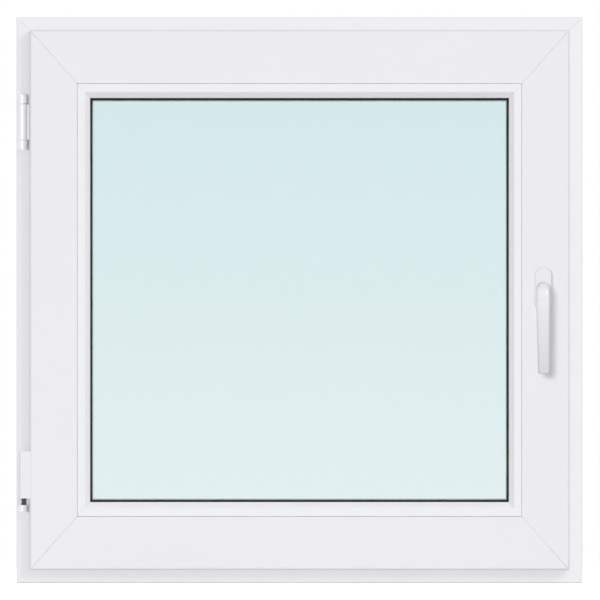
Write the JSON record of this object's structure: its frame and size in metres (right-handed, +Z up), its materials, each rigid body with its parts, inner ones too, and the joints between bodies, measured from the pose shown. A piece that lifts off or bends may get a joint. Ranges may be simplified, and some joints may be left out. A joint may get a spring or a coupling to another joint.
{
  "type": "casement window",
  "caption": "White plastic casement window: mitred frame, side-hung inward-opening sash with double glazing, barrel hinges, lever handle and espagnolette lock.",
  "frame": {"origin": "middle of the sill's flat underside, half way through the frame's depth", "axes": "+Z up; +X along the sill from the hinge side to the handle side; +Y through the window to the outside, so -Y faces the room"},
  "size_m": [0.9, 0.1415, 0.9],
  "materials": {
    "frame_white": "satin white PVC",
    "sash_white": "satin white PVC",
    "bead_white": "satin white PVC",
    "hinge_white": "white powder coat",
    "cover_white": "white plastic",
    "handle_white": "smooth white powder coat",
    "zinc_steel": "zinc plated",
    "cast_zinc": "die-cast zinc",
    "black_rubber": "matte black",
    "clear_glass": "clear float glass",
    "spacer_aluminium": "satin",
    "packer_plastic": "moulded plastic"
  },
  "bodies": {
    "frame": {"drain_cap_hinge_end": "frame_white", "drain_cap_lock_end": "frame_white", "frame_gasket": "black_rubber", "frame_head": "frame_white", "frame_head_steel": "zinc_steel", "frame_jamb_hinge": "frame_white", "frame_jamb_hinge_steel": "zinc_steel", "frame_jamb_lock": "frame_white", "frame_jamb_lock_steel": "zinc_steel", "frame_sill": "frame_white", "frame_sill_steel": "zinc_steel", "keep_lower": "cast_zinc", "keep_upper": "cast_zinc", "lower_hinge_bearing": "hinge_white", "lower_hinge_pin": "zinc_steel", "run_up_block": "packer_plastic", "upper_hinge_bearing": "hinge_white", "upper_hinge_cap": "hinge_white", "upper_hinge_pin": "zinc_steel"},
    "sash": {"gearbox_case": "cast_zinc", "glass_pane_outside": "clear_glass", "glass_pane_room": "clear_glass", "glazing_bead_bottom": "bead_white", "glazing_bead_hinge": "bead_white", "glazing_bead_lock": "bead_white", "glazing_bead_top": "bead_white", "glazing_gasket_outside": "black_rubber", "glazing_gasket_room": "black_rubber", "handle_base": "cast_zinc", "handle_rosette": "handle_white", "handle_screw_lower": "zinc_steel", "handle_screw_upper": "zinc_steel", "lock_faceplate": "zinc_steel", "lower_hinge_barrel": "cast_zinc", "lower_hinge_cover": "cover_white", "packer_bottom_hinge_end": "packer_plastic", "packer_bottom_lock_end": "packer_plastic", "packer_hinge_side": "packer_plastic", "packer_lock_side": "packer_plastic", "run_up_shoe": "packer_plastic", "sash_bottom_rail": "sash_white", "sash_bottom_rail_steel": "zinc_steel", "sash_gasket": "black_rubber", "sash_stile_hinge": "sash_white", "sash_stile_hinge_steel": "zinc_steel", "sash_stile_lock": "sash_white", "sash_stile_lock_steel": "zinc_steel", "sash_top_rail": "sash_white", "sash_top_rail_steel": "zinc_steel", "spacer_bar": "spacer_aluminium", "upper_hinge_barrel": "hinge_white"},
    "handle": {"drive_pinion": "zinc_steel", "handle_lever": "handle_white", "handle_spindle": "zinc_steel"},
    "upper_lock": {"upper_lock_bar": "zinc_steel", "upper_lock_cam": "zinc_steel"},
    "lower_lock": {"lower_lock_bar": "zinc_steel", "lower_lock_cam": "zinc_steel"}
  },
  "joints": [
    {"name": "sash_turn", "type": "hinge", "parent": "frame", "child": "sash", "pos_m": [-0.4383, -0.045, 0.4], "axis": [0, 0, -1], "range_deg": [0, 90]},
    {"name": "handle_turn", "type": "hinge", "parent": "sash", "child": "handle", "pos_m": [0.3874, -0.055, 0.4675], "axis": [0, 1, 0], "range_deg": [0, 90]},
    {"name": "upper_bar_slide", "type": "slide", "parent": "sash", "child": "upper_lock", "axis": [0, 0, 1], "range_m": [0, 0.01415]},
    {"name": "lower_bar_slide", "type": "slide", "parent": "sash", "child": "lower_lock", "axis": [0, 0, -1], "range_m": [0, 0.01415]}
  ],
  "couplings": [
    {"joint": "upper_bar_slide", "follows": "handle_turn", "m_per_rad": 0.009},
    {"joint": "lower_bar_slide", "follows": "handle_turn", "m_per_rad": 0.009}
  ]
}
